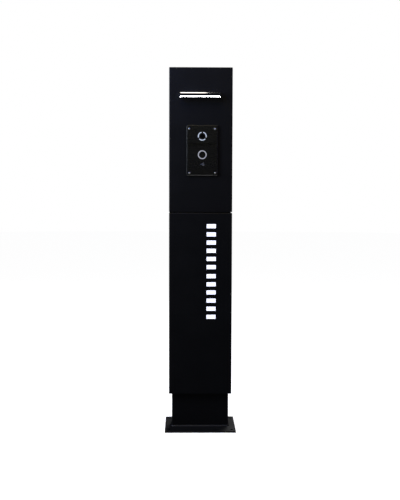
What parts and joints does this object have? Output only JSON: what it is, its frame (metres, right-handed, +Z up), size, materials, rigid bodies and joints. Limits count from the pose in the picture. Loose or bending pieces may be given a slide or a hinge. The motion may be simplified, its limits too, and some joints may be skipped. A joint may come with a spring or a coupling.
{
  "type": "gate intercom post",
  "caption": "Free-standing slim steel post on a foot plate, in two folded casings, with a flush door station, a sprung call button, a bar lamp and a lit ladder of slots.",
  "frame": {"origin": "centre of the base plate's underside", "axes": "+Z up along the post, the front with the station looks towards -Y, +X to the right seen from the front"},
  "size_m": [0.225, 0.2, 1.148],
  "materials": {
    "powder_black": "satin black powder coat with fine orange peel",
    "station_metal": "dark grey anodised, satin",
    "button_metal": "dark grey anodised, satin",
    "zinc_steel": "zinc plated",
    "bright_steel": "bright stainless",
    "black_screws": "black zinc",
    "polished_bar": "polished",
    "tray_aluminium": "mill finish",
    "lit_opal": "opal acrylic, lit from behind",
    "lit_ring_cool": "opal light guide, lit",
    "lit_ring_neutral": "opal light guide, dimly lit",
    "opal": "opal polycarbonate",
    "dark_glass": "tinted, polished",
    "lens_glass": "coated lens",
    "window_plastic": "smoked, satin gloss",
    "black_plastic": "moulded",
    "terminal_grey": "moulded",
    "board_green": "solder mask",
    "board_white": "white solder mask",
    "seal_rubber": "soft, closed cell"
  },
  "bodies": {
    "post": {"base_plate": "powder_black", "inner_post": "powder_black", "post_head_plate": "powder_black", "weld_nuts": "zinc_steel", "joint_plate": "powder_black", "head_bolts": "zinc_steel", "lower_casing": "powder_black", "sleeve_spacers": "black_plastic", "sleeve_screws": "black_screws", "upper_casing": "powder_black", "rear_cover": "powder_black", "cover_gasket": "seal_rubber", "cover_screws": "black_screws", "station_front_plate": "station_metal", "station_gasket": "seal_rubber", "station_screws": "bright_steel", "station_back_box": "black_plastic", "status_ring": "lit_ring_cool", "camera_window": "dark_glass", "camera_led_board": "board_green", "camera_module": "black_plastic", "camera_lens": "lens_glass", "button_ring": "lit_ring_neutral", "button_led_board": "board_green", "button_dome": "seal_rubber", "button_switch": "black_plastic", "speaker_mesh": "black_plastic", "speaker": "black_plastic", "microphone": "black_plastic", "light_sensor": "black_plastic", "reader_window": "window_plastic", "reader_antenna": "board_green", "main_board": "board_green", "cable_gland": "black_plastic", "gland_nut": "black_plastic", "lamp_housing": "polished_bar", "lamp_gasket": "seal_rubber", "lamp_screws": "zinc_steel", "lamp_led_board": "board_white", "lamp_diffuser": "opal", "light_diffuser": "lit_opal", "light_led_board": "board_white", "light_tray": "tray_aluminium", "equipment_bracket": "zinc_steel", "power_supply": "zinc_steel", "terminal_block": "terminal_grey"},
    "button": {"call_button": "button_metal"}
  },
  "joints": [
    {"name": "button_press", "type": "slide", "parent": "post", "child": "button", "axis": [0, 1, 0], "range_m": [0, 0.0012], "stiffness_N_per_m": 1500, "springref_m": -0.001, "deforming": ["button_dome"]}
  ]
}
